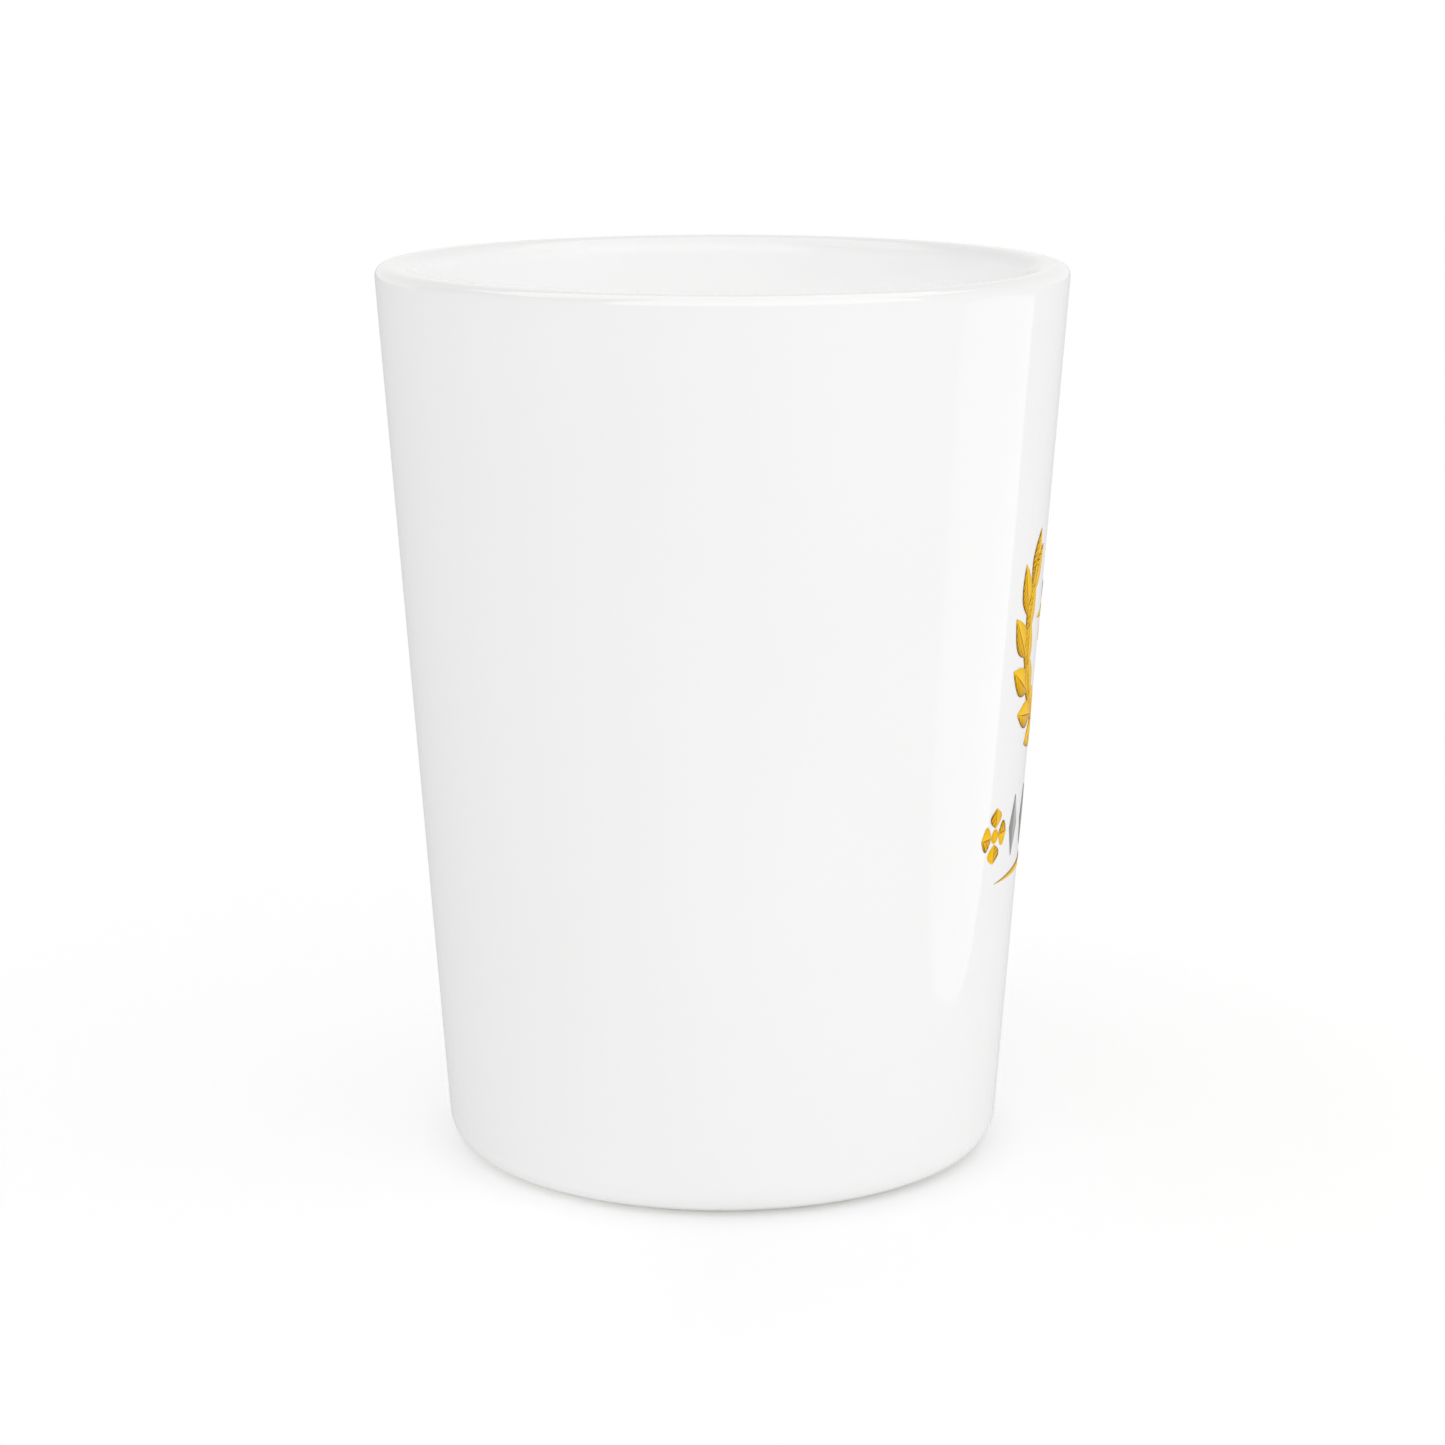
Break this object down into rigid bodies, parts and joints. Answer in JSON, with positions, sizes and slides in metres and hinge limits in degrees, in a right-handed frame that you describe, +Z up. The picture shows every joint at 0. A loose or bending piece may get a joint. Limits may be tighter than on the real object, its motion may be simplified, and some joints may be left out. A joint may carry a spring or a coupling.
{
  "type": "shot glass",
  "caption": "Small handleless ceramic cup with straight tapering walls, a rounded lip, a recessed foot and a gold and grey print on its front.",
  "frame": {"origin": "middle of the foot, at the height of the table that the cup stands on", "axes": "+Z up along the cup's axis, -Y towards the middle of the print, +X to the right of someone facing the print"},
  "size_m": [0.0458, 0.0458, 0.06],
  "materials": {
    "fired_clay": "matte",
    "white_glaze": "polished",
    "gold_ink": "gloss",
    "grey_ink": "gloss"
  },
  "bodies": {
    "root": {"clay_body": "fired_clay", "glaze_shell": "white_glaze", "foot_recess_glaze": "white_glaze", "print_sprig_left": "gold_ink", "print_sprig_right": "gold_ink", "print_star": "gold_ink", "print_rosette_left": "gold_ink", "print_rosette_right": "gold_ink", "print_underline": "gold_ink", "print_lozenge_1": "grey_ink", "print_lozenge_2": "grey_ink", "print_lozenge_3": "grey_ink", "print_lozenge_4": "grey_ink", "print_lozenge_5": "grey_ink"}
  },
  "joints": []
}
